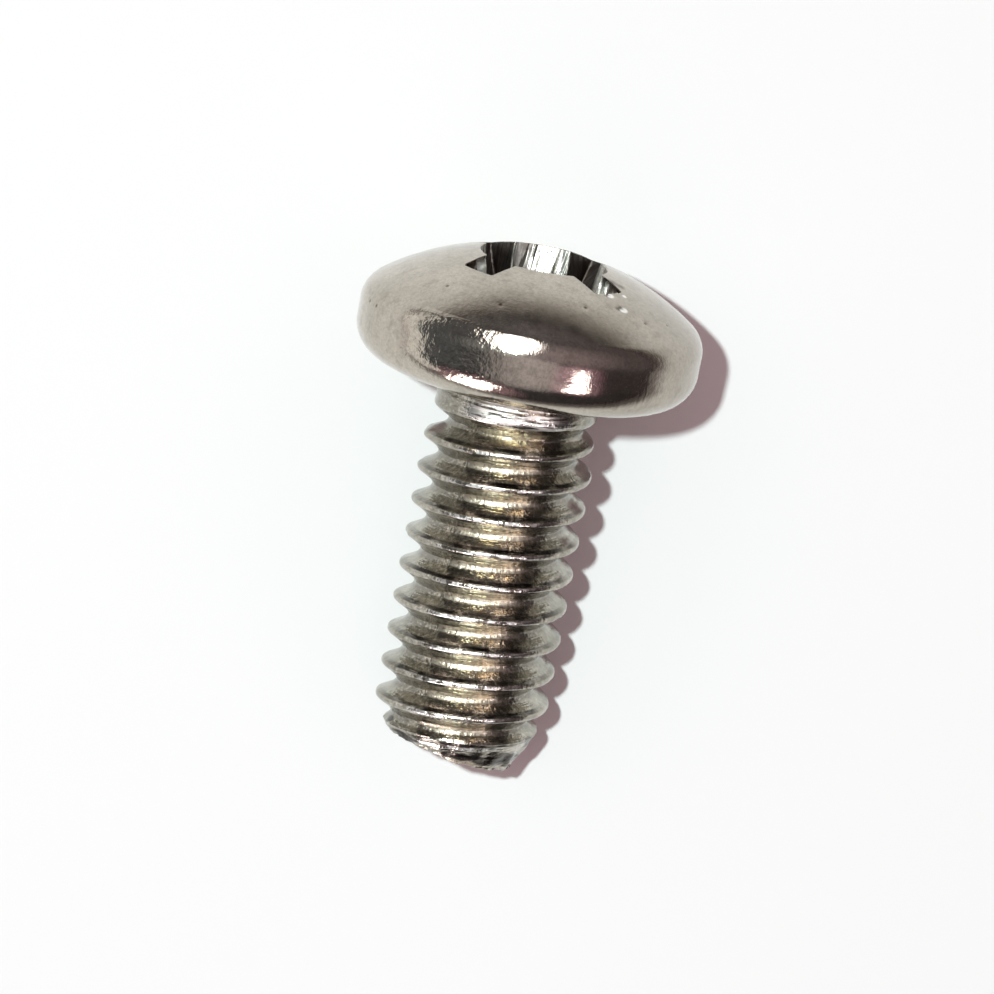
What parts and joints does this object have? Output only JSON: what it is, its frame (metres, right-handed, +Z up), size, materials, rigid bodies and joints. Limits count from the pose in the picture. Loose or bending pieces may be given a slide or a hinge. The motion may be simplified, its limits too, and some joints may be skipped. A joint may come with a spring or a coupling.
{
  "type": "phillips head screw",
  "caption": "Pan head machine screw with a cross recess in its domed head and a full-length right-hand thread ending in a chamfered point.",
  "frame": {"origin": "centre of the lying screw's box, on the surface that it rests on", "axes": "+Z up; +X along the screw from the head to the point, level; the screw's own axis dips 13.3 degrees from the head down to the point"},
  "size_m": [0.0123, 0.008, 0.008],
  "materials": {
    "screw": "bright plated steel, lightly scuffed"
  },
  "bodies": {
    "root": {"screw": "screw"}
  },
  "joints": []
}
